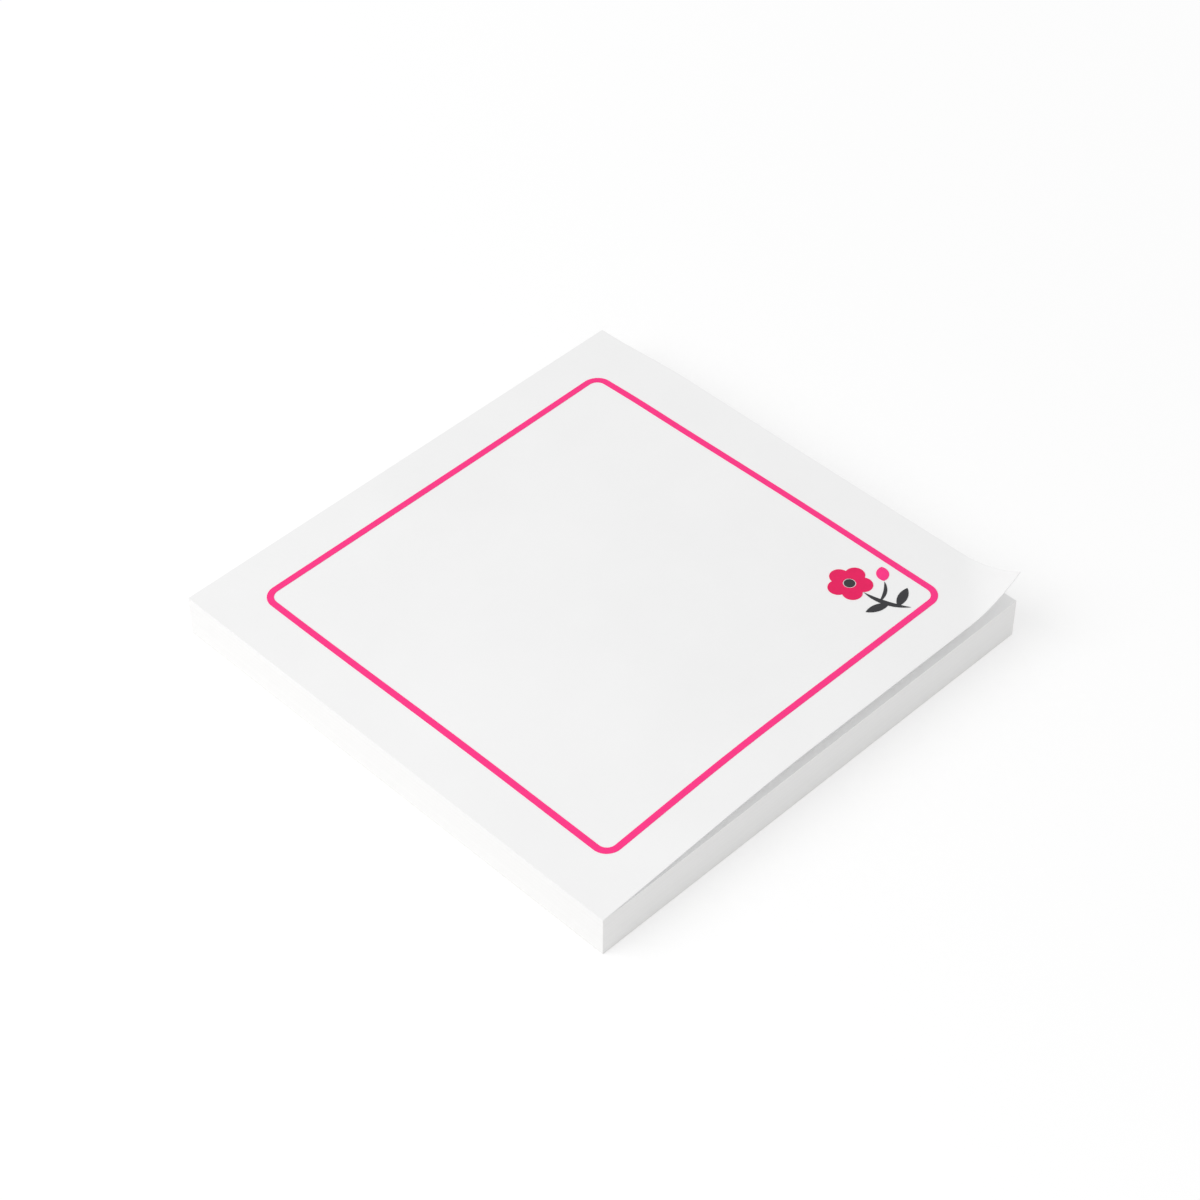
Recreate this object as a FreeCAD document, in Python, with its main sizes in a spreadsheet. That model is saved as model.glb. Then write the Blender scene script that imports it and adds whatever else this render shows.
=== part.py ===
# Sticky note pad: a glued block of plain notes on a backing sheet, under a printed top note.
# X runs across a note, Y up a note to its glued edge, Z up. The origin is the middle of the
# underside. The free corner of the top note, at +X and -Y, has lifted and curls up.
import FreeCAD, Part
import math
import os

import Sketcher
from FreeCAD import Vector

# Driving sizes in millimetres and degrees, each with what it measures.
SIZES = [
    ("note_side", 76.2, "side of the square note"),
    ("note_thickness", 0.125, "thickness of one note"),
    ("block_notes", 49, "notes in the block under the top one"),
    ("edge_break", 0.015, "bevel that the cutter leaves along every edge of a note"),
    ("backing_thickness", 0.07, "thickness of the backing sheet"),
    ("glue_thickness", 0.03, "thickness of the adhesive"),
    ("glue_width", 11.5, "width of the adhesive strip"),
    ("glue_margin", 0.5, "bare margin between the adhesive and the edges of the note"),
    ("foot_lift", 2.08, "lift of the top note at its free edge"),
    ("foot_flare", 37.3, "distance from the left edge at which the free edge is fully lifted"),
    ("side_lift", 1.1, "further lift of the top note at its right edge"),
    ("side_strip", 38.0, "width of the strip that rises to the right edge"),
    ("side_onset", 17.4, "distance from the glued edge over which the right edge comes loose"),
    ("swell_height", 1.07, "height of the swell in the middle of the loose part"),
    ("curl_length", 6.85, "length of the curl, along the diagonal to the free corner"),
    ("curl_height", 3.1, "height of the curl at the free corner"),
    ("sheet_spans", 48, "spans of the curled surface along each side"),
    ("ink_thickness", 0.05, "thickness of the printed film"),
    ("frame_width", 0.94, "width of the printed line"),
    ("frame_corner", 2.35, "outer corner radius of the printed line"),
    ("frame_left", 6.73, "margin from the left edge to the line"),
    ("frame_right", 7.4, "margin from the right edge to the line"),
    ("frame_top", 6.3, "margin from the glued edge to the line"),
    ("frame_foot", 6.0, "margin from the free edge to the line"),
    ("blossom_side", 6.25, "distance from the inside of the line to the blossom, across"),
    ("blossom_foot", 9.3, "distance from the inside of the line to the blossom, down"),
    ("petals", 5, "petals of the blossom"),
    ("petal_radius", 1.35, "radius of a petal"),
    ("petal_reach", 1.75, "distance from the middle of the blossom to that of a petal"),
    ("petal_turn", 90.0, "direction of the first petal"),
    ("eye_radius", 0.75, "radius of the eye of the blossom"),
    ("eye_gap", 0.12, "bare ring around the eye"),
    ("stem_x", 0.05, "root of the stem, across from the middle of the blossom"),
    ("stem_y", -2.45, "root of the stem, up from the middle of the blossom"),
    ("stem_turn", -69.9, "direction of the stem"),
    ("stem_length", 6.55, "length of the stem"),
    ("stem_left", -0.25, "bow of the left side of the stem"),
    ("stem_right", -0.95, "bow of the right side of the stem"),
    ("left_leaf_x", 0.85, "root of the left leaf"),
    ("left_leaf_y", -6.15, "root of the left leaf"),
    ("left_leaf_turn", 161.0, "direction of the left leaf"),
    ("left_leaf_length", 3.5, "length of the left leaf"),
    ("left_leaf_left", 0.62, "bow of the left side of the left leaf"),
    ("left_leaf_right", -0.62, "bow of the right side of the left leaf"),
    ("right_leaf_x", 1.2, "root of the right leaf"),
    ("right_leaf_y", -7.25, "root of the right leaf"),
    ("right_leaf_turn", 21.0, "direction of the right leaf"),
    ("right_leaf_length", 3.7, "length of the right leaf"),
    ("right_leaf_left", 0.65, "bow of the left side of the right leaf"),
    ("right_leaf_right", -0.65, "bow of the right side of the right leaf"),
    ("twig_x", 0.1, "root of the twig"),
    ("twig_y", -5.0, "root of the twig"),
    ("twig_turn", 31.0, "direction of the twig"),
    ("twig_length", 3.9, "length of the twig"),
    ("twig_left", -0.2, "bow of the left side of the twig"),
    ("twig_right", -0.7, "bow of the right side of the twig"),
    ("bud_x", 3.5, "root of the bud"),
    ("bud_y", -2.85, "root of the bud"),
    ("bud_turn", 48.0, "direction of the bud"),
    ("bud_length", 2.6, "length of the bud"),
    ("bud_left", 0.85, "bow of the left side of the bud"),
    ("bud_right", -0.85, "bow of the right side of the bud"),
]

# Heights and places that follow from the sizes.
BLOCK_HEIGHT = "sizes.block_notes * sizes.note_thickness"
BLOCK_TOP = "sizes.backing_thickness + " + BLOCK_HEIGHT
NOTE_UNDERSIDE = BLOCK_TOP + " + sizes.glue_thickness"
LIFT = "sizes.foot_lift + sizes.side_lift + sizes.swell_height + sizes.curl_height"
PRINT_REACH = NOTE_UNDERSIDE + " + " + LIFT + " + 2 * sizes.note_thickness + sizes.ink_thickness"
BLOSSOM_X = "sizes.note_side / 2 - sizes.frame_right - sizes.frame_width - sizes.blossom_side"
BLOSSOM_Y = "sizes.frame_foot + sizes.frame_width + sizes.blossom_foot - sizes.note_side / 2"

NODES = [
    "note_block",
    "backing_sheet",
    "adhesive_strip",
    "top_note",
    "printed_border",
    "printed_blossom",
    "printed_eye",
    "printed_sprig",
    "printed_bud",
]

START, END, CENTRE = 1, 2, 3
ROOT, X_AXIS = -1, -1


def fill_sheet(doc):
    """Put the driving sizes in a spreadsheet, one alias to a row."""
    sheet = doc.addObject("Spreadsheet::Sheet", "sizes")
    for row, (alias, value, meaning) in enumerate(SIZES, start=1):
        sheet.set(f"A{row}", meaning)
        sheet.set(f"B{row}", str(value))
        sheet.setAlias(f"B{row}", alias)
    doc.recompute()
    return sheet


def number(thing, expression):
    """Value of an expression on the sheet."""
    return float(thing.evalExpression(expression))


def size(doc, alias):
    """Value of one driving size."""
    return float(doc.getObject("sizes").get(alias))


def new_body(doc, name):
    """Empty body with its own label."""
    body = doc.addObject("PartDesign::Body", name)
    body.Label = name
    return body


def origin_feature(body, role):
    """Plane or axis of a body's own origin."""
    return [item for item in body.Origin.OriginFeatures if item.Role == role][0]


def flat_sketch(body, name):
    """Sketch on the body's own XY plane."""
    sketch = body.newObject("Sketcher::SketchObject", name)
    sketch.AttachmentSupport = [(origin_feature(body, "XY_Plane"), "")]
    sketch.MapMode = "FlatFace"
    return sketch


def dimension(sketch, name, expression, kind, *where):
    """Add a named dimension bound to the sheet."""
    index = sketch.addConstraint(Sketcher.Constraint(kind, *where, number(sketch, expression)))
    sketch.renameConstraint(index, name)
    sketch.setExpression(f"Constraints.{name}", expression)


def rectangle(sketch, width, depth):
    """Draw a rectangle centred on the sketch's origin."""
    half_x = number(sketch, width) / 2
    half_y = number(sketch, depth) / 2
    corners = [
        Vector(-half_x, -half_y, 0),
        Vector(half_x, -half_y, 0),
        Vector(half_x, half_y, 0),
        Vector(-half_x, half_y, 0),
    ]
    lines = [Part.LineSegment(corners[i], corners[(i + 1) % 4]) for i in range(4)]
    foot, right, top, left = sketch.addGeometry(lines, False)
    for line, following in ((foot, right), (right, top), (top, left), (left, foot)):
        sketch.addConstraint(Sketcher.Constraint("Coincident", line, END, following, START))
    for line in (foot, top):
        sketch.addConstraint(Sketcher.Constraint("Horizontal", line))
    for line in (right, left):
        sketch.addConstraint(Sketcher.Constraint("Vertical", line))
    sketch.addConstraint(Sketcher.Constraint("Symmetric", foot, START, right, END, ROOT, START))
    dimension(sketch, "width", width, "DistanceX", foot, START, foot, END)
    dimension(sketch, "depth", depth, "DistanceY", right, START, right, END)


def rounded_rectangle(sketch, tag, width, depth, radius):
    """Draw a centred rectangle with round corners."""
    half_x = number(sketch, width) / 2
    half_y = number(sketch, depth) / 2
    bend = number(sketch, radius)
    near_x, near_y = half_x - bend, half_y - bend
    lines = [
        Part.LineSegment(Vector(-near_x, -half_y, 0), Vector(near_x, -half_y, 0)),
        Part.LineSegment(Vector(half_x, -near_y, 0), Vector(half_x, near_y, 0)),
        Part.LineSegment(Vector(near_x, half_y, 0), Vector(-near_x, half_y, 0)),
        Part.LineSegment(Vector(-half_x, near_y, 0), Vector(-half_x, -near_y, 0)),
    ]
    middles = [(near_x, -near_y), (near_x, near_y), (-near_x, near_y), (-near_x, -near_y)]
    arcs = []
    for quarter, (x, y) in enumerate(middles):
        circle = Part.Circle(Vector(x, y, 0), Vector(0, 0, 1), bend)
        first = (quarter - 1) * math.pi / 2
        arcs.append(Part.ArcOfCircle(circle, first, first + math.pi / 2))
    sides = sketch.addGeometry(lines, False)
    corners = sketch.addGeometry(arcs, False)
    for i in range(4):
        following = sides[(i + 1) % 4]
        sketch.addConstraint(Sketcher.Constraint("Tangent", sides[i], END, corners[i], START))
        sketch.addConstraint(Sketcher.Constraint("Tangent", corners[i], END, following, START))
    for i in (0, 2):
        sketch.addConstraint(Sketcher.Constraint("Horizontal", sides[i]))
        sketch.addConstraint(Sketcher.Constraint("Vertical", sides[i + 1]))
    for i in range(3):
        sketch.addConstraint(Sketcher.Constraint("Equal", corners[i], corners[i + 1]))
    middle = ("Symmetric", corners[3], CENTRE, corners[1], CENTRE, ROOT, START)
    sketch.addConstraint(Sketcher.Constraint(*middle))
    dimension(sketch, f"{tag}_radius", radius, "Radius", corners[0])
    dimension(sketch, f"{tag}_width", width, "DistanceX", sides[3], START, sides[1], START)
    dimension(sketch, f"{tag}_depth", depth, "DistanceY", sides[0], START, sides[2], START)


def bowed_side(sketch, name, length, bow, rise):
    """Draw one side of a blade: an arc between its two tips."""
    reach = number(sketch, length)
    through = Vector(reach / 2, number(sketch, bow), 0)
    arc = Part.Arc(Vector(0, 0, 0), through, Vector(reach, 0, 0))
    curve = sketch.addGeometry(arc, False)
    near, far = (END, START) if number(sketch, bow) > 0 else (START, END)
    sketch.addConstraint(Sketcher.Constraint("Coincident", curve, near, ROOT, START))
    dimension(sketch, name, rise, "Radius", curve)
    return curve, far


def blade_sketch(body, tag):
    """Draw a leaf, stem, twig or bud: two arcs that meet in a tip at each end."""
    length = f"sizes.{tag}_length"
    sketch = flat_sketch(body, f"{tag}_outline")
    tips = []
    for side in ("left", "right"):
        bow = f"sizes.{tag}_{side}"
        radius = f"({length}^2 / 4 + {bow}^2) / (2 * abs({bow}))"
        tips.append(bowed_side(sketch, f"{side}_radius", length, bow, radius))
    (first, first_tip), (second, second_tip) = tips
    sketch.addConstraint(Sketcher.Constraint("Coincident", first, first_tip, second, second_tip))
    sketch.addConstraint(Sketcher.Constraint("PointOnObject", first, first_tip, X_AXIS))
    dimension(sketch, "length", length, "DistanceX", ROOT, START, first, first_tip)
    return sketch


def pad(body, sketch, length):
    """Extrude a sketch upwards."""
    feature = body.newObject("PartDesign::Pad", f"{sketch.Name}_pad")
    feature.Profile = sketch
    feature.setExpression("Length", length)
    body.Document.recompute()
    return feature


def build_note_block(doc):
    """One note with its cut edges, repeated up the block."""
    body = new_body(doc, "note_block")
    body.setExpression("Placement.Base.z", "sizes.backing_thickness")
    outline = flat_sketch(body, "note_outline")
    rectangle(outline, "sizes.note_side", "sizes.note_side")
    note = pad(body, outline, "sizes.note_thickness")
    level = [f"Edge{i}" for i, edge in enumerate(note.Shape.Edges, start=1)
             if abs(edge.Vertexes[0].Z - edge.Vertexes[1].Z) < Part.Precision.confusion()]
    cut_edges = body.newObject("PartDesign::Chamfer", "cut_edges")
    cut_edges.Base = (note, level)
    cut_edges.setExpression("Size", "sizes.edge_break")
    doc.recompute()
    stack = body.newObject("PartDesign::LinearPattern", "stack_of_notes")
    stack.TransformMode = "Whole shape"
    stack.Direction = (origin_feature(body, "Z_Axis"), [""])
    stack.Mode = "Spacing"
    stack.setExpression("Offset", "sizes.note_thickness")
    stack.setExpression("Occurrences", "sizes.block_notes")
    body.Tip = stack
    doc.recompute()


def build_backing_sheet(doc):
    """Plain sheet that covers the adhesive of the last note."""
    body = new_body(doc, "backing_sheet")
    outline = flat_sketch(body, "backing_outline")
    rectangle(outline, "sizes.note_side", "sizes.note_side")
    pad(body, outline, "sizes.backing_thickness")


def build_adhesive_strip(doc):
    """Strip of adhesive along the glued edge, under the top note."""
    body = new_body(doc, "adhesive_strip")
    across = "sizes.note_side - 2 * sizes.glue_margin"
    place = "sizes.note_side / 2 - sizes.glue_margin - sizes.glue_width / 2"
    body.setExpression("Placement.Base.y", place)
    body.setExpression("Placement.Base.z", BLOCK_TOP)
    outline = flat_sketch(body, "adhesive_outline")
    rectangle(outline, across, "sizes.glue_width")
    pad(body, outline, "sizes.glue_thickness")


def clamp(value):
    """Keep a share between nothing and all."""
    return min(max(value, 0.0), 1.0)


def lift(doc, across, down):
    """Height of the top note over its glued stretch.

    across is measured from the left edge and down from the glued edge. The note rises from
    the glued stretch to its free edge, its right edge comes loose and stands a little
    higher, its middle swells, and the free corner curls up in a parabola.
    """
    side = size(doc, "note_side")
    held = size(doc, "glue_margin") + size(doc, "glue_width")
    free = clamp((down - held) / (side - held))
    part = clamp(across / size(doc, "foot_flare"))
    flare = part + part * part * (1 - part)
    foot = size(doc, "foot_lift") * free * math.sqrt(free) * flare
    strip = size(doc, "side_strip")
    loose = (1 - math.cos(math.pi * clamp(down / size(doc, "side_onset")))) / 2
    edge = size(doc, "side_lift") * loose * (1 - (down / side) ** 2)
    edge *= clamp((across - side + strip) / strip) ** 2
    crest = math.sin(math.pi * free) ** 2 * math.sin(math.pi * across / side)
    swell = size(doc, "swell_height") * crest
    to_corner = math.hypot(side, side) - (across + down) / math.sqrt(2)
    curl = size(doc, "curl_height") * clamp(1 - to_corner / size(doc, "curl_length")) ** 2
    return foot + edge + swell + curl


def lifted_face(doc, height):
    """Curled square face whose held stretch lies at the given height."""
    side = size(doc, "note_side")
    spans = int(size(doc, "sheet_spans"))
    degree = 3
    knots = [side * i / spans for i in range(spans + 1)]
    repeats = [degree + 1] + [1] * (spans - 1) + [degree + 1]
    ends = [0.0] * degree + knots + [side] * degree
    # A pole stands at the mean of its knots, so the plan of the face stays square.
    stations = [sum(ends[i + 1:i + 1 + degree]) / degree for i in range(spans + degree)]
    poles = [[Vector(x - side / 2, y - side / 2, height + lift(doc, x, side - y))
              for y in stations] for x in stations]
    surface = Part.BSplineSurface()
    surface.buildFromPolesMultsKnots(
        poles, repeats, repeats, knots, knots, False, False, degree, degree)
    return surface.toShape()


def build_sheet(doc, name, height, thickness):
    """Curled sheet of even thickness."""
    sheet = doc.addObject("Part::Feature", name)
    sheet.Label = name
    face = lifted_face(doc, number(sheet, height))
    sheet.Shape = face.extrude(Vector(0, 0, number(sheet, thickness)))
    sheet.Placement = FreeCAD.Placement()
    return sheet


def printed_field(doc, name, outline, film):
    """Part of the printed film that an upright outline cuts out."""
    field = doc.addObject("Part::Common", name)
    field.Label = name
    field.Base = outline
    field.Tool = film
    doc.recompute()


def build_border(doc, film):
    """Printed line round the writing space."""
    body = new_body(doc, "border_outline")
    body.setExpression("Placement.Base.x", "(sizes.frame_left - sizes.frame_right) / 2")
    body.setExpression("Placement.Base.y", "(sizes.frame_foot - sizes.frame_top) / 2")
    width = "sizes.note_side - sizes.frame_left - sizes.frame_right"
    depth = "sizes.note_side - sizes.frame_top - sizes.frame_foot"
    outline = flat_sketch(body, "border_lines")
    rounded_rectangle(outline, "outer", width, depth, "sizes.frame_corner")
    inset = " - 2 * sizes.frame_width"
    inner_corner = "sizes.frame_corner - sizes.frame_width"
    rounded_rectangle(outline, "inner", width + inset, depth + inset, inner_corner)
    pad(body, outline, PRINT_REACH)
    printed_field(doc, "printed_border", body, film)


def place_by_blossom(body, across="0", up="0"):
    """Place an outline from the middle of the blossom."""
    body.setExpression("Placement.Base.x", f"{BLOSSOM_X} + {across}")
    body.setExpression("Placement.Base.y", f"{BLOSSOM_Y} + {up}")


def disc_sketch(body, name, radius):
    """Draw a circle round the sketch's origin."""
    sketch = flat_sketch(body, name)
    circle = Part.Circle(Vector(0, 0, 0), Vector(0, 0, 1), number(sketch, radius))
    disc = sketch.addGeometry(circle, False)
    sketch.addConstraint(Sketcher.Constraint("Coincident", disc, CENTRE, ROOT, START))
    dimension(sketch, "radius", radius, "Radius", disc)
    return sketch


def build_blossom(doc, film):
    """Round petals about a bare ring, with the eye inside it."""
    body = new_body(doc, "blossom_outline")
    place_by_blossom(body)
    body.setExpression("Placement.Rotation.Angle", "sizes.petal_turn")
    petal = flat_sketch(body, "petal")
    reach = number(petal, "sizes.petal_reach")
    circle = Part.Circle(
        Vector(reach, 0, 0), Vector(0, 0, 1), number(petal, "sizes.petal_radius"))
    disc = petal.addGeometry(circle, False)
    petal.addConstraint(Sketcher.Constraint("PointOnObject", disc, CENTRE, X_AXIS))
    dimension(petal, "reach", "sizes.petal_reach", "DistanceX", ROOT, START, disc, CENTRE)
    dimension(petal, "radius", "sizes.petal_radius", "Radius", disc)
    petal_pad = pad(body, petal, PRINT_REACH)
    ring = body.newObject("PartDesign::PolarPattern", "ring_of_petals")
    ring.Originals = [petal_pad]
    ring.Axis = (origin_feature(body, "Z_Axis"), [""])
    ring.setExpression("Occurrences", "sizes.petals")
    body.Tip = ring
    doc.recompute()
    bare_ring = disc_sketch(body, "bare_ring", "sizes.eye_radius + sizes.eye_gap")
    hole = body.newObject("PartDesign::Pocket", "eye_hole")
    hole.Profile = bare_ring
    hole.Type = "ThroughAll"
    hole.Reversed = True
    doc.recompute()
    printed_field(doc, "printed_blossom", body, film)
    eye = new_body(doc, "eye_outline")
    place_by_blossom(eye)
    pad(eye, disc_sketch(eye, "eye_disc", "sizes.eye_radius"), PRINT_REACH)
    printed_field(doc, "printed_eye", eye, film)


def build_blade(doc, tag):
    """Upright outline of one blade of the sprig."""
    body = new_body(doc, f"{tag}_blade")
    place_by_blossom(body, f"sizes.{tag}_x", f"sizes.{tag}_y")
    body.setExpression("Placement.Rotation.Angle", f"sizes.{tag}_turn")
    pad(body, blade_sketch(body, tag), PRINT_REACH)
    return body


def build_sprig(doc, film):
    """Stem, twig and two leaves in one, and the bud at the end of the twig."""
    sprig = doc.addObject("Part::MultiFuse", "sprig_outline")
    sprig.Shapes = [build_blade(doc, tag) for tag in ("stem", "left_leaf", "right_leaf", "twig")]
    doc.recompute()
    printed_field(doc, "printed_sprig", sprig, film)
    printed_field(doc, "printed_bud", build_blade(doc, "bud"), film)


def check_document(doc):
    """Stop if an object failed or a piece has no sound solid."""
    for item in doc.Objects:
        if "Invalid" in item.State or "Error" in item.State:
            raise RuntimeError(f"{item.Name} failed: {item.State}")
    for name in NODES:
        shape = doc.getObject(name).Shape
        if shape.isNull() or not shape.isValid() or not shape.Solids or shape.Volume <= 0:
            raise RuntimeError(f"{name} has no sound solid")
        box = shape.BoundBox
        print(f"{name}: {len(shape.Solids)} solid, {shape.Volume:.3f} mm3, "
              f"z {box.ZMin:.3f} to {box.ZMax:.3f}")


def main():
    """Build the pad and write each piece."""
    doc = FreeCAD.newDocument("sticky_note_pad")
    fill_sheet(doc)
    build_note_block(doc)
    build_backing_sheet(doc)
    build_adhesive_strip(doc)
    build_sheet(doc, "top_note", NOTE_UNDERSIDE, "sizes.note_thickness")
    print_height = NOTE_UNDERSIDE + " + sizes.note_thickness"
    film = build_sheet(doc, "printed_film", print_height, "sizes.ink_thickness")
    build_border(doc, film)
    build_blossom(doc, film)
    build_sprig(doc, film)
    doc.recompute()
    check_document(doc)
    os.makedirs("parts", exist_ok=True)
    for name in NODES:
        doc.getObject(name).Shape.exportStep(f"parts/{name}.step")


main()
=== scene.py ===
"""Looks of a sticky note pad: paper, print, cut edges, and the studio it lies in.

The pad lies on a white floor. X runs across a note, Y up a note to its glued edge, Z up.
Lengths are in metres.
"""
import logging
import math
from dataclasses import dataclass, field
from enum import Enum

import bpy
from mathutils import Matrix, Vector


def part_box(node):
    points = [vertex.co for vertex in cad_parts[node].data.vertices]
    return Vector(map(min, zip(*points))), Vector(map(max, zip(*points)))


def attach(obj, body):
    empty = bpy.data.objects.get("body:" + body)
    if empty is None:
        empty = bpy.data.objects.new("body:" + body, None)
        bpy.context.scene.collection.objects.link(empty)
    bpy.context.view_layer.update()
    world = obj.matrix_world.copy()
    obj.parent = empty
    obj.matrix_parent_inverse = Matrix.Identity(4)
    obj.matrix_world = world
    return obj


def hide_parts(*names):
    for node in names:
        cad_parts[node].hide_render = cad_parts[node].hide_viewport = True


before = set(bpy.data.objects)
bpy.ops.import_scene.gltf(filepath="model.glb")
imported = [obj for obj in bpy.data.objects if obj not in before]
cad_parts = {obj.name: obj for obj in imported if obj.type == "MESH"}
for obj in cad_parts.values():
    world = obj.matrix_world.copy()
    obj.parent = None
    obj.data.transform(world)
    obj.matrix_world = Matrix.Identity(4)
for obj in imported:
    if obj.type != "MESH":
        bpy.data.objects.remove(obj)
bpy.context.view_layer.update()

BODY = "root"
MM = 0.001
NOTE_THICKNESS = 0.125 * MM
NOTE_WHITE = (0.9, 0.9, 0.9)
PLAIN_WHITE = (1.0, 1.0, 1.0, 1.0)
NOISE_SPAN = (0.3, 0.7)
WHOLE_SPAN = (0.0, 1.0)

log = logging.getLogger("sticky_note_pad")

Colour = tuple[float, float, float]
Stretch = tuple[float, float, float]
Span = tuple[float, float]


class Ink(Enum):
    """Colours of the print, as light that the ink gives back."""

    PINK = (1.0, 0.034, 0.246)
    CRIMSON = (0.83, 0.008, 0.115)
    CHARCOAL = (0.035, 0.035, 0.039)


class Ray(Enum):
    """Rays that are told apart: those that see the studio, and those that bring light."""

    CAMERA = "Is Camera Ray"
    GLOSSY = "Is Glossy Ray"
    TRANSMISSION = "Is Transmission Ray"
    DIFFUSE = "Is Diffuse Ray"
    SHADOW = "Is Shadow Ray"


SEES_STUDIO = (Ray.CAMERA, Ray.GLOSSY, Ray.TRANSMISSION)
BRINGS_LIGHT = (Ray.DIFFUSE, Ray.SHADOW)


@dataclass(frozen=True)
class Grain:
    """A fine pattern that lies still in a piece.

    Its scale is in features to a metre. Its detail is how many finer layers it has, and its
    roughness how strong they are. The stretch makes it denser along an axis.
    """

    scale: float
    detail: float = 2.0
    roughness: float = 0.5
    stretch: Stretch = (1.0, 1.0, 1.0)


PAPER_FIBRES = Grain(3200.0, detail=3.0, roughness=0.6)


def share(value: float) -> float:
    """Keep a share between nothing and all."""
    return min(max(value, 0.0), 1.0)


def deselect_all() -> None:
    """Leave nothing selected, so that an operator acts on the new piece alone."""
    bpy.ops.object.select_all(action="DESELECT")


def pick(piece: bpy.types.Object) -> None:
    """Select one piece and make it active, so that an operator acts on it alone.

    Args:
        piece: the object to select.
    """
    deselect_all()
    piece.select_set(True)
    bpy.context.view_layer.objects.active = piece


def settle(piece: bpy.types.Object) -> None:
    """Move a piece's place into its mesh.

    Args:
        piece: the object, which ends at the origin, unturned and unscaled.
    """
    pick(piece)
    bpy.ops.object.transform_apply(location=True, rotation=True, scale=True)


def apply_modifier(piece: bpy.types.Object, kind: str, **settings: object) -> None:
    """Add a modifier to a piece and apply it.

    Args:
        piece: the object to change.
        kind: the modifier's type.
        settings: the modifier's values by name.
    """
    modifier = piece.modifiers.new(kind.title(), kind)
    for name, value in settings.items():
        setattr(modifier, name, value)
    pick(piece)
    bpy.ops.object.modifier_apply(modifier=modifier.name)


def told_apart(tree: bpy.types.NodeTree, rays: tuple[Ray, ...]) -> bpy.types.NodeSocket:
    """Tell whether a surface is met by one of some kinds of ray.

    Args:
        tree: the tree of the material or the world.
        rays: the kinds of ray.

    Returns:
        A socket that is 1 for those rays.
    """
    path = tree.nodes.new("ShaderNodeLightPath")
    total = path.outputs[rays[0].value]
    for ray in rays[1:]:
        either = tree.nodes.new("ShaderNodeMath")
        either.operation = "MAXIMUM"
        tree.links.new(total, either.inputs[0])
        tree.links.new(path.outputs[ray.value], either.inputs[1])
        total = either.outputs["Value"]
    return total


class NodeBoard:
    """A material's nodes, added and joined by name."""

    def __init__(self, name: str) -> None:
        """Start a material with a plain surface shader.

        Args:
            name: the material's name.
        """
        self.material = bpy.data.materials.new(name)
        self.material.use_nodes = True
        self.nodes = self.material.node_tree.nodes
        self.links = self.material.node_tree.links
        self.shader = self.nodes["Principled BSDF"]
        self.output = self.nodes["Material Output"]

    def add(self, kind: str, **values: object) -> bpy.types.Node:
        """Add a node and set its properties.

        Args:
            kind: the node's type without its family prefix.
            values: the node's properties by name.

        Returns:
            The new node.
        """
        node = self.nodes.new("ShaderNode" + kind)
        for name, value in values.items():
            setattr(node, name, value)
        return node

    def join(self, source: bpy.types.NodeSocket, target: bpy.types.NodeSocket) -> None:
        """Link one socket to another."""
        self.links.new(source, target)

    def noise(self, grain: Grain) -> bpy.types.NodeSocket:
        """Add a noise that lies still in the piece.

        Args:
            grain: the noise's pattern.

        Returns:
            The noise's value socket.
        """
        place = self.add("TexCoord")
        mapping = self.add("Mapping")
        mapping.inputs["Scale"].default_value = grain.stretch
        texture = self.add("TexNoise")
        texture.inputs["Scale"].default_value = grain.scale
        texture.inputs["Detail"].default_value = grain.detail
        texture.inputs["Roughness"].default_value = grain.roughness
        self.join(place.outputs["Object"], mapping.inputs["Vector"])
        self.join(mapping.outputs["Vector"], texture.inputs["Vector"])
        return texture.outputs["Fac"]

    def ramp(self, value: bpy.types.NodeSocket, low: Colour, high: Colour,
             span: Span = NOISE_SPAN) -> bpy.types.NodeSocket:
        """Turn a value into a colour between two others.

        Args:
            value: the value's socket.
            low: colour at the low end.
            high: colour at the high end.
            span: the values at the two ends.

        Returns:
            The colour socket.
        """
        ramp = self.add("ValToRGB")
        first, last = ramp.color_ramp.elements
        first.position, last.position = span
        first.color = (*low, 1.0)
        last.color = (*high, 1.0)
        self.join(value, ramp.inputs["Fac"])
        return ramp.outputs["Color"]

    def map_range(self, value: bpy.types.NodeSocket, span: Span,
                  reach: Span) -> bpy.types.NodeSocket:
        """Turn a value's span into another, and hold it at the ends.

        Args:
            value: the value's socket.
            span: the values at the two ends.
            reach: what they become.

        Returns:
            The new value's socket.
        """
        fade = self.add("MapRange")
        fade.inputs["From Min"].default_value, fade.inputs["From Max"].default_value = span
        fade.inputs["To Min"].default_value, fade.inputs["To Max"].default_value = reach
        self.join(value, fade.inputs["Value"])
        return fade.outputs["Result"]

    def let_light_through(self, part: float) -> None:
        """Let some of the light through a thin sheet to what lies under it.

        Args:
            part: the share of the light that gets through both faces.
        """
        bare = self.add("BsdfTransparent")
        gap = self.add("Math", operation="MULTIPLY")
        gap.inputs[1].default_value = math.sqrt(part)
        mix = self.add("MixShader")
        self.join(told_apart(self.material.node_tree, BRINGS_LIGHT), gap.inputs[0])
        self.join(gap.outputs["Value"], mix.inputs["Fac"])
        self.join(self.shader.outputs["BSDF"], mix.inputs[1])
        self.join(bare.outputs["BSDF"], mix.inputs[2])
        self.join(mix.outputs["Shader"], self.output.inputs["Surface"])

    def bump(self, height: bpy.types.NodeSocket, depth: float, strength: float) -> None:
        """Give the surface relief.

        Args:
            height: the relief's value socket.
            depth: the relief's height in metres.
            strength: how much of it shows.
        """
        bump = self.add("Bump")
        bump.inputs["Distance"].default_value = depth
        bump.inputs["Strength"].default_value = strength
        self.join(height, bump.inputs["Height"])
        self.join(bump.outputs["Normal"], self.shader.inputs["Normal"])


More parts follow.
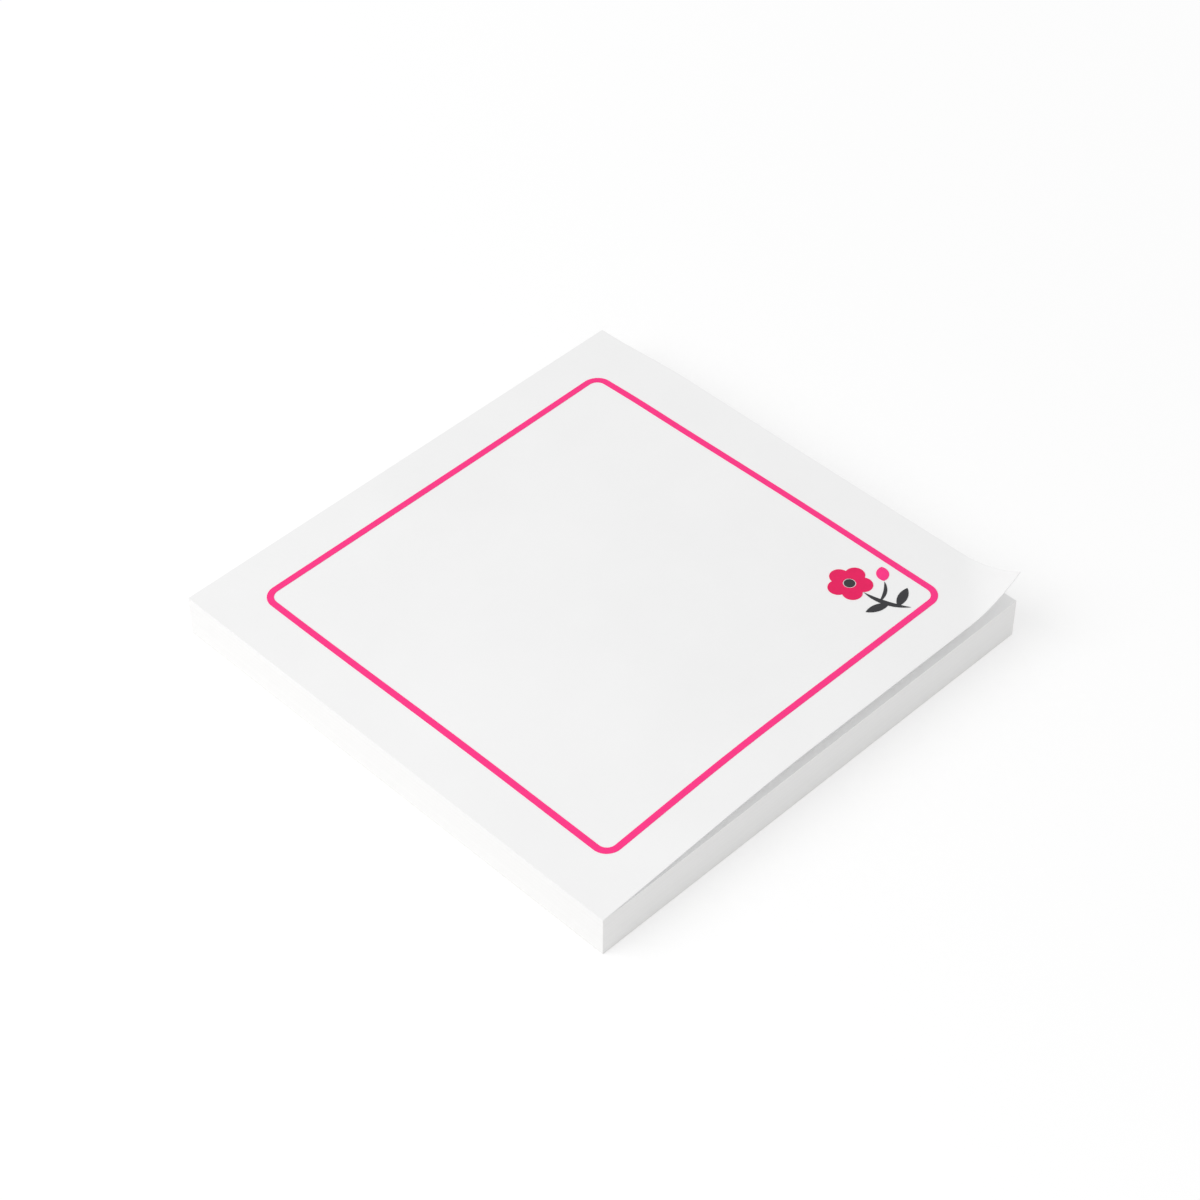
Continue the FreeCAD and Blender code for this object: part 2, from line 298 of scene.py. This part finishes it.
@dataclass(frozen=True)
class PaperFinish:
    """Uncoated paper: soft clouds in its white, and a fine tooth of fibres."""

    name: str
    white: Colour = NOTE_WHITE
    cloud: float = 0.018
    clouds: Grain = Grain(85.0, detail=4.0, roughness=0.55)
    fibre_depth: float = 0.006 * MM
    fibre_strength: float = 0.5
    roughness: float = 0.88
    gloss: float = 0.25
    light_through: float = 0.0

    def material(self) -> bpy.types.Material:
        """Build the paper's material.

        Returns:
            The material.
        """
        board = NodeBoard(self.name)
        dull = tuple(part * (1.0 - self.cloud) for part in self.white)
        clouds = board.noise(self.clouds)
        board.join(board.ramp(clouds, dull, self.white), board.shader.inputs["Base Color"])
        board.shader.inputs["Roughness"].default_value = self.roughness
        board.shader.inputs["Specular IOR Level"].default_value = self.gloss
        board.bump(board.noise(PAPER_FIBRES), self.fibre_depth, self.fibre_strength)
        if self.light_through:
            board.let_light_through(self.light_through)
        return board.material


@dataclass(frozen=True)
class StackFinish:
    """A stack of paper: its cut edges show each note in a shade of its own.

    Its level faces are whiter than its cut edges, partly as paper face against cut edge and
    partly as painted light that lifts the shade in the gap under the lifted note. The cut
    edges' darker, warm white is partly painted shade.
    """

    name: str
    note_thickness: float
    face_white: Colour = NOTE_WHITE
    # The cut edges' white: darker and warmer than the paper's, partly painted shade.
    edge_white_and_painted_shade: Colour = (0.88, 0.877, 0.871)
    shade: float = 0.03
    level_span: Span = (0.6, 0.8)
    cut_fibres: Grain = Grain(1500.0, stretch=(1.0, 1.0, 6.0))
    fibre_depth: float = 0.01 * MM
    fibre_strength: float = 0.5
    roughness: float = 0.92
    gloss: float = 0.2

    def note_shades(self, board: NodeBoard) -> bpy.types.NodeSocket:
        """Give each note in the stack its own shade.

        Args:
            board: the material's nodes.

        Returns:
            The shade's colour socket.
        """
        place = board.add("TexCoord")
        parts = board.add("SeparateXYZ")
        count = board.add("Math", operation="DIVIDE")
        count.inputs[1].default_value = self.note_thickness
        whole = board.add("Math", operation="FLOOR")
        shade = board.add("TexWhiteNoise", noise_dimensions="1D")
        board.join(place.outputs["Object"], parts.inputs["Vector"])
        board.join(parts.outputs["Z"], count.inputs[0])
        board.join(count.outputs["Value"], whole.inputs[0])
        board.join(whole.outputs["Value"], shade.inputs["W"])
        dull = tuple(part * (1.0 - self.shade) for part in self.edge_white_and_painted_shade)
        return board.ramp(shade.outputs["Value"], dull, self.edge_white_and_painted_shade, WHOLE_SPAN)

    def level_faces_painted_lighter(self, board: NodeBoard) -> bpy.types.NodeSocket:
        """Tell the notes' flat faces from their cut edges, so that the flat faces are painted
        lighter.

        Args:
            board: the material's nodes.

        Returns:
            A socket that is 1 on a face that lies level.
        """
        place = board.add("TexCoord")
        parts = board.add("SeparateXYZ")
        upright = board.add("Math", operation="ABSOLUTE")
        board.join(place.outputs["Normal"], parts.inputs["Vector"])
        board.join(parts.outputs["Z"], upright.inputs[0])
        return board.map_range(upright.outputs["Value"], self.level_span, WHOLE_SPAN)

    def material(self) -> bpy.types.Material:
        """Build the stack's material.

        Returns:
            The material.
        """
        board = NodeBoard(self.name)
        # Level faces take the paper's white and cut edges the darker, warm edge white: partly
        # paper face against cut edge, partly painted light and painted shade.
        colour = board.add("Mix", data_type="RGBA")
        colour.inputs["B"].default_value = (*self.face_white, 1.0)
        board.join(self.level_faces_painted_lighter(board), colour.inputs["Factor"])
        board.join(self.note_shades(board), colour.inputs["A"])
        board.join(colour.outputs["Result"], board.shader.inputs["Base Color"])
        board.shader.inputs["Roughness"].default_value = self.roughness
        board.shader.inputs["Specular IOR Level"].default_value = self.gloss
        board.bump(board.noise(self.cut_fibres), self.fibre_depth, self.fibre_strength)
        return board.material


@dataclass(frozen=True)
class InkFinish:
    """Flat printed colour, a touch uneven where the paper's fibres take it differently."""

    ink: Ink
    patch: float = 0.06
    patches: Grain = Grain(900.0)
    fibre_depth: float = 0.005 * MM
    fibre_strength: float = 0.4
    roughness: float = 0.7
    gloss: float = 0.3

    def material(self) -> bpy.types.Material:
        """Build the ink's material.

        Returns:
            The material.
        """
        board = NodeBoard(f"{self.ink.name.lower()}_ink")
        worn = tuple(part * (1.0 - self.patch) for part in self.ink.value)
        patches = board.noise(self.patches)
        board.join(board.ramp(patches, worn, self.ink.value), board.shader.inputs["Base Color"])
        board.shader.inputs["Roughness"].default_value = self.roughness
        board.shader.inputs["Specular IOR Level"].default_value = self.gloss
        board.bump(board.noise(PAPER_FIBRES), self.fibre_depth, self.fibre_strength)
        return board.material


@dataclass(frozen=True)
class AdhesiveFinish:
    """Low-tack adhesive: a pale film, softly shining and slightly grainy."""

    colour: Colour = (0.84, 0.83, 0.77)
    grain: Grain = Grain(2500.0)
    grain_shade: float = 0.06
    grain_depth: float = 0.01 * MM
    grain_strength: float = 0.6
    roughness: float = 0.45

    def material(self) -> bpy.types.Material:
        """Build the adhesive's material.

        Returns:
            The material.
        """
        board = NodeBoard("low_tack_adhesive")
        grain = board.noise(self.grain)
        dull = tuple(part * (1.0 - self.grain_shade) for part in self.colour)
        board.join(board.ramp(grain, dull, self.colour), board.shader.inputs["Base Color"])
        board.shader.inputs["Roughness"].default_value = self.roughness
        board.bump(grain, self.grain_depth, self.grain_strength)
        return board.material


def dress(node: str, material: bpy.types.Material) -> None:
    """Give a piece of the frame its material.

    Args:
        node: the piece's name.
        material: the finish that covers it.
    """
    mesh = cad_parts[node].data
    mesh.materials.clear()
    mesh.materials.append(material)
    log.info("%s wears %s", node, material.name)


@dataclass
class LiftedCorner:
    """Form of the top note over its glued stretch.

    The note rises to its free edge, its right edge has come loose, its middle swells, and
    the free corner curls up.
    """

    side: float
    held: float
    foot_lift: float = 2.08 * MM
    foot_flare: float = 37.3 * MM
    side_lift: float = 1.1 * MM
    side_strip: float = 38.0 * MM
    side_onset: float = 17.4 * MM
    swell_height: float = 1.07 * MM
    curl_length: float = 6.85 * MM
    curl_height: float = 3.1 * MM

    def free(self, down: float) -> float:
        """Work out how far down the loose part a place lies, as a share."""
        return share((down - self.held) / (self.side - self.held))

    def foot(self, across: float, down: float) -> float:
        """Work out the rise from the glued stretch to the free edge."""
        part = share(across / self.foot_flare)
        return self.foot_lift * self.free(down) ** 1.5 * (part + part * part * (1.0 - part))

    def loose_side(self, across: float, down: float) -> float:
        """Work out the further rise to the right edge."""
        loose = (1.0 - math.cos(math.pi * share(down / self.side_onset))) / 2.0
        reach = share((across - self.side + self.side_strip) / self.side_strip)
        return self.side_lift * loose * (1.0 - (down / self.side) ** 2) * reach ** 2

    def swell(self, across: float, down: float) -> float:
        """Work out the swell in the middle of the loose part."""
        crest = math.sin(math.pi * self.free(down)) ** 2
        return self.swell_height * crest * math.sin(math.pi * across / self.side)

    def curl(self, across: float, down: float) -> float:
        """Work out the further rise of the free corner."""
        to_corner = math.hypot(self.side, self.side) - (across + down) / math.sqrt(2.0)
        return self.curl_height * share(1.0 - to_corner / self.curl_length) ** 2

    def height(self, across: float, down: float) -> float:
        """Work out how far the note stands over its glued stretch.

        Args:
            across: distance from the left edge.
            down: distance from the glued edge.

        Returns:
            The height.
        """
        parts = (self.foot, self.loose_side, self.swell, self.curl)
        return sum(part(across, down) for part in parts)


@dataclass
class TopNote:
    """The printed note on top: one thin sheet that lifts to its free corner."""

    thickness: float = NOTE_THICKNESS
    cells: int = 120
    crease: float = math.radians(40.0)
    paper: PaperFinish = PaperFinish("note_paper", light_through=0.18)
    corner: LiftedCorner = field(init=False)
    low: Vector = field(init=False)
    high: Vector = field(init=False)

    def __post_init__(self) -> None:
        """Take the note's place from the frame."""
        low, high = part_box("top_note")
        strip_low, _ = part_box("adhesive_strip")
        self.low = Vector(low)
        self.high = Vector(high)
        side = self.high.x - self.low.x
        self.corner = LiftedCorner(side, self.high.y - strip_low[1])

    def flat_sheet(self) -> bpy.types.Object:
        """Add the sheet as it lies flat, at the level of its printed face.

        Returns:
            The flat sheet.
        """
        deselect_all()
        middle = (self.low + self.high) / 2.0
        place = (middle.x, middle.y, self.low.z + self.thickness)
        bpy.ops.mesh.primitive_grid_add(x_subdivisions=self.cells, y_subdivisions=self.cells,
                                        size=self.corner.side, location=place)
        sheet = bpy.context.object
        sheet.name = "curled_note"
        settle(sheet)
        return sheet

    def lift(self, sheet: bpy.types.Object) -> None:
        """Raise the flat sheet to its lifted form.

        Args:
            sheet: the flat sheet.
        """
        for vertex in sheet.data.vertices:
            across = vertex.co.x - self.low.x
            down = self.high.y - vertex.co.y
            vertex.co.z += self.corner.height(across, down)

    def build(self) -> None:
        """Model the note, dress it in its paper and put it in the CAD note's place."""
        sheet = self.flat_sheet()
        self.lift(sheet)
        apply_modifier(sheet, "SOLIDIFY", thickness=self.thickness, offset=-1.0)
        pick(sheet)
        bpy.ops.object.shade_smooth_by_angle(angle=self.crease)
        sheet.data.materials.append(self.paper.material())
        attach(sheet, BODY)
        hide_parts("top_note")
        log.info("curled_note has %d faces", len(sheet.data.polygons))


@dataclass
class Print:
    """The print on the top note: a line round the writing space and a sprig in its corner."""

    inks: dict[str, Ink] = field(default_factory=lambda: {
        "printed_border": Ink.PINK,
        "printed_blossom": Ink.CRIMSON,
        "printed_eye": Ink.CHARCOAL,
        "printed_sprig": Ink.CHARCOAL,
        "printed_bud": Ink.PINK,
    })

    def build(self) -> None:
        """Dress each printed field in its ink."""
        finishes = {ink: InkFinish(ink).material() for ink in Ink}
        for node, ink in self.inks.items():
            dress(node, finishes[ink])


@dataclass
class Block:
    """The notes under the top one, on their backing sheet, and the adhesive on them."""

    notes: StackFinish = StackFinish("stacked_notes", NOTE_THICKNESS)
    backing: PaperFinish = PaperFinish("backing_paper", white=(0.84, 0.835, 0.81), roughness=0.7)
    adhesive: AdhesiveFinish = AdhesiveFinish()

    def build(self) -> None:
        """Dress the block, the backing sheet and the adhesive strip."""
        dress("note_block", self.notes.material())
        dress("backing_sheet", self.backing.material())
        dress("adhesive_strip", self.adhesive.material())


@dataclass
class Studio:
    """White floor, soft light from the left, and the camera."""

    floor_side: float = 4.0
    floor_drop: float = 0.02 * MM
    floor_white: float = 1.045
    shadow_depth: float = 0.58
    shadow_reach: Span = (0.08, 0.5)
    sky: float = 0.74
    lamp_light: float = 0.335
    lamp_azimuth: float = math.radians(158.0)
    lamp_height: float = math.radians(46.0)
    lamp_width: float = math.radians(46.0)
    lamp_distance: float = 0.65
    camera_place: Vector = Vector((-0.21671, -0.21466, 0.31181))
    camera_aim: Vector = Vector((0.50131, 0.49767, -0.70782))
    camera_right: Vector = Vector((0.70694, -0.70726, 0.00341))
    focal_length: float = 99.55
    sensor: float = 36.0

    def plain_white(self, board: NodeBoard) -> bpy.types.NodeSocket:
        """Work out how much of the floor is plain white: some near the pad, and all far off.

        Args:
            board: the floor's nodes.

        Returns:
            The share's socket.
        """
        place = board.add("TexCoord")
        reach = board.add("VectorMath", operation="LENGTH")
        seen = board.add("Math", operation="MULTIPLY")
        board.join(place.outputs["Object"], reach.inputs[0])
        white = board.map_range(reach.outputs["Value"], self.shadow_reach,
                                (1.0 - self.shadow_depth, 1.0))
        board.join(white, seen.inputs[0])
        board.join(told_apart(board.material.node_tree, SEES_STUDIO), seen.inputs[1])
        return seen.outputs["Value"]

    def add_floor(self) -> None:
        """Lay a white floor that keeps a faint shadow."""
        deselect_all()
        bpy.ops.mesh.primitive_plane_add(size=self.floor_side, location=(0, 0, -self.floor_drop))
        floor = bpy.context.object
        floor.name = "studio_floor"
        settle(floor)
        board = NodeBoard("white_floor")
        board.shader.inputs["Base Color"].default_value = PLAIN_WHITE
        board.shader.inputs["Roughness"].default_value = 1.0
        board.shader.inputs["Specular IOR Level"].default_value = 0.0
        glow = board.add("Emission")
        glow.inputs["Strength"].default_value = self.floor_white
        mix = board.add("MixShader")
        board.join(self.plain_white(board), mix.inputs["Fac"])
        board.join(board.shader.outputs["BSDF"], mix.inputs[1])
        board.join(glow.outputs["Emission"], mix.inputs[2])
        board.join(mix.outputs["Shader"], board.output.inputs["Surface"])
        floor.data.materials.append(board.material)

    def add_sky(self) -> None:
        """Light the pad evenly from above, with white all round it."""
        world = bpy.data.worlds.new("soft_sky")
        world.use_nodes = True
        bpy.context.scene.world = world
        tree = world.node_tree
        light = tree.nodes["Background"]
        light.inputs["Color"].default_value = PLAIN_WHITE
        light.inputs["Strength"].default_value = self.sky
        white = tree.nodes.new("ShaderNodeBackground")
        white.inputs["Color"].default_value = PLAIN_WHITE
        white.inputs["Strength"].default_value = 1.0
        mix = tree.nodes.new("ShaderNodeMixShader")
        tree.links.new(told_apart(tree, SEES_STUDIO), mix.inputs["Fac"])
        tree.links.new(light.outputs["Background"], mix.inputs[1])
        tree.links.new(white.outputs["Background"], mix.inputs[2])
        tree.links.new(mix.outputs["Shader"], tree.nodes["World Output"].inputs["Surface"])

    def add_lamp(self) -> None:
        """Hang a broad round lamp to the left of the pad."""
        flat = math.cos(self.lamp_height)
        towards = Vector((flat * math.cos(self.lamp_azimuth), flat * math.sin(self.lamp_azimuth),
                          math.sin(self.lamp_height)))
        lamp = bpy.data.lights.new("broad_lamp", "AREA")
        lamp.shape = "DISK"
        lamp.size = 2.0 * self.lamp_distance * math.tan(self.lamp_width / 2.0)
        glow = self.lamp_light / math.sin(self.lamp_width / 2.0) ** 2
        lamp.energy = glow * math.pi * math.pi * lamp.size ** 2 / 4.0
        holder = bpy.data.objects.new("broad_lamp", lamp)
        bpy.context.scene.collection.objects.link(holder)
        holder.location = towards * self.lamp_distance
        holder.rotation_euler = towards.to_track_quat("Z", "Y").to_euler()

    def add_camera(self) -> None:
        """Put the camera at the photograph's viewing angle."""
        lens = bpy.data.cameras.new("camera")
        lens.lens = self.focal_length
        lens.sensor_width = self.sensor
        camera = bpy.data.objects.new("camera", lens)
        bpy.context.scene.collection.objects.link(camera)
        back = -self.camera_aim.normalized()
        right = self.camera_right.normalized()
        up = back.cross(right)
        turn = Matrix((right, up, back)).transposed()
        camera.matrix_world = Matrix.Translation(self.camera_place) @ turn.to_4x4()
        bpy.context.scene.camera = camera

    def build(self) -> None:
        """Set up the studio."""
        bpy.context.scene.view_settings.view_transform = "Standard"
        self.add_floor()
        self.add_sky()
        self.add_lamp()
        self.add_camera()


def main() -> None:
    """Dress the frame, model the curled note and set up the studio."""
    logging.basicConfig(level=logging.INFO, format="%(name)s: %(message)s")
    Studio().build()
    Block().build()
    TopNote().build()
    Print().build()


if __name__ == "__main__":
    main()
